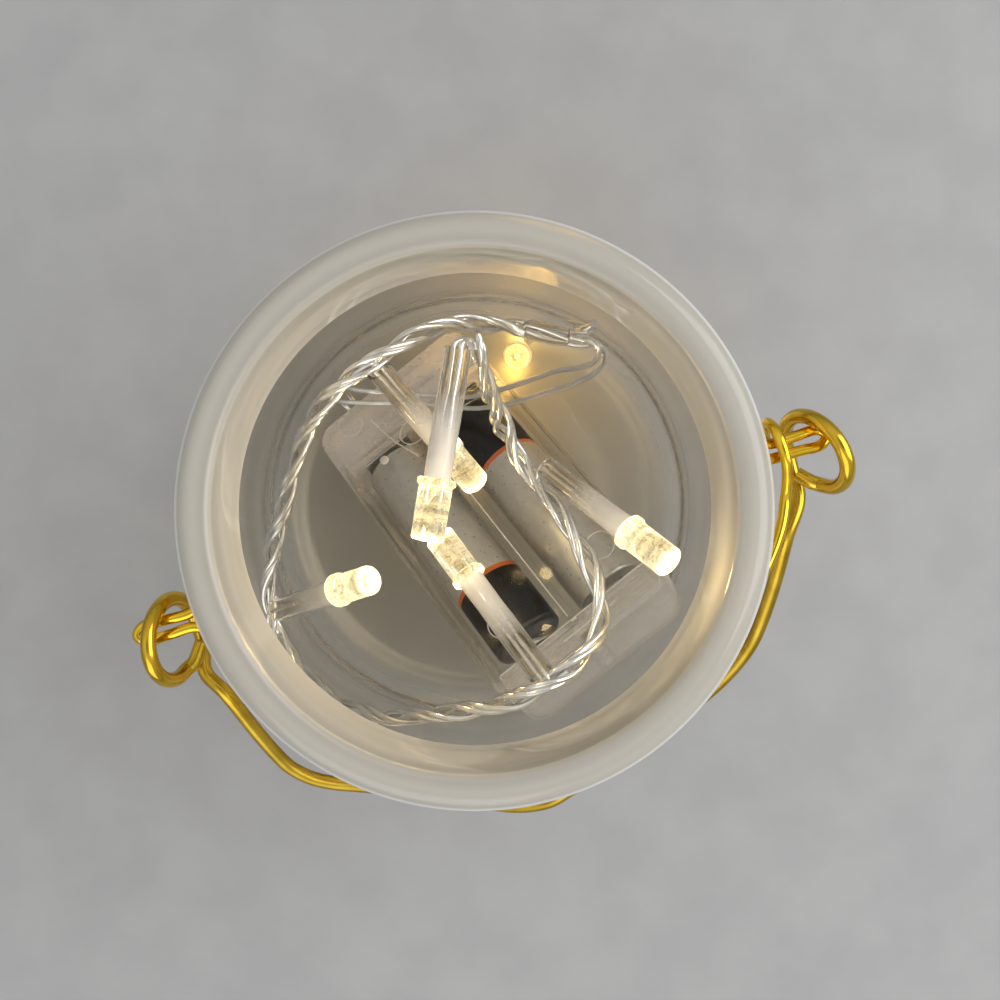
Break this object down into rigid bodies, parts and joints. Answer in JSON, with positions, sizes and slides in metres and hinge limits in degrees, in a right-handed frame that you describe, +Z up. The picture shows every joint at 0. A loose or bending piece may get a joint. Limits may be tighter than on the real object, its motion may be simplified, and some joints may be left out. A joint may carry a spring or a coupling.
{
  "type": "jar light",
  "caption": "Open glass jar with a swinging wire bail, holding a clear battery box with a slide switch and a string of warm lamps on twisted wire.",
  "frame": {"origin": "centre of the flat underside of the jar, on the jar's axis", "axes": "+Z up along the jar's axis, X along the ears of the neck ring, -Y to the front, where the bail hangs"},
  "size_m": [0.1103, 0.1021, 0.1],
  "materials": {
    "glass": "clear glass, milky at the lip",
    "gold_wire": "gold-coloured steel wire",
    "clear_plastic": "clear moulded plastic",
    "steel": "plated steel sheet and wire",
    "cell_jacket": "printed foil jacket, left bare",
    "black_plastic": "black moulded plastic",
    "board": "pale lacquered board",
    "wire_jacket": "clear wire insulation over bright strands",
    "lamp": "warm lit lamp body"
  },
  "bodies": {
    "jar_body": {"jar": "glass", "neck_ring": "gold_wire", "box_tray": "clear_plastic", "box_cover": "clear_plastic", "cover_screw": "steel", "cell_1": "cell_jacket", "cell_2": "cell_jacket", "series_link": "steel", "positive_contact": "steel", "negative_contact": "steel", "spring_1": "steel", "spring_2": "steel", "switch_body": "steel", "control_board": "board", "lead_bush": "clear_plastic", "lead_wire_1": "wire_jacket", "lead_wire_2": "wire_jacket", "splice_sleeve": "clear_plastic", "cable_1": "wire_jacket", "cable_2": "wire_jacket", "cable_3": "wire_jacket", "cable_4": "wire_jacket", "cable_5": "wire_jacket", "cable_6": "wire_jacket", "led_1": "lamp", "led_2": "lamp", "led_3": "lamp", "led_4": "lamp", "led_5": "lamp", "led_6": "lamp", "sleeve_1": "clear_plastic", "sleeve_2": "clear_plastic", "sleeve_3": "clear_plastic", "sleeve_4": "clear_plastic", "sleeve_5": "clear_plastic", "sleeve_6": "clear_plastic"},
    "bail_body": {"bail": "gold_wire"},
    "slider_body": {"switch_slider": "black_plastic"}
  },
  "joints": [
    {"name": "bail_swing", "type": "hinge", "parent": "jar_body", "child": "bail_body", "pos_m": [0, -0.004, 0.09005], "axis": [-1, 0, 0], "range_deg": [0, 221]},
    {"name": "switch_slide", "type": "slide", "parent": "jar_body", "child": "slider_body", "axis": [0.9252, 0.3795, 0], "range_m": [0, 0.0025]}
  ]
}
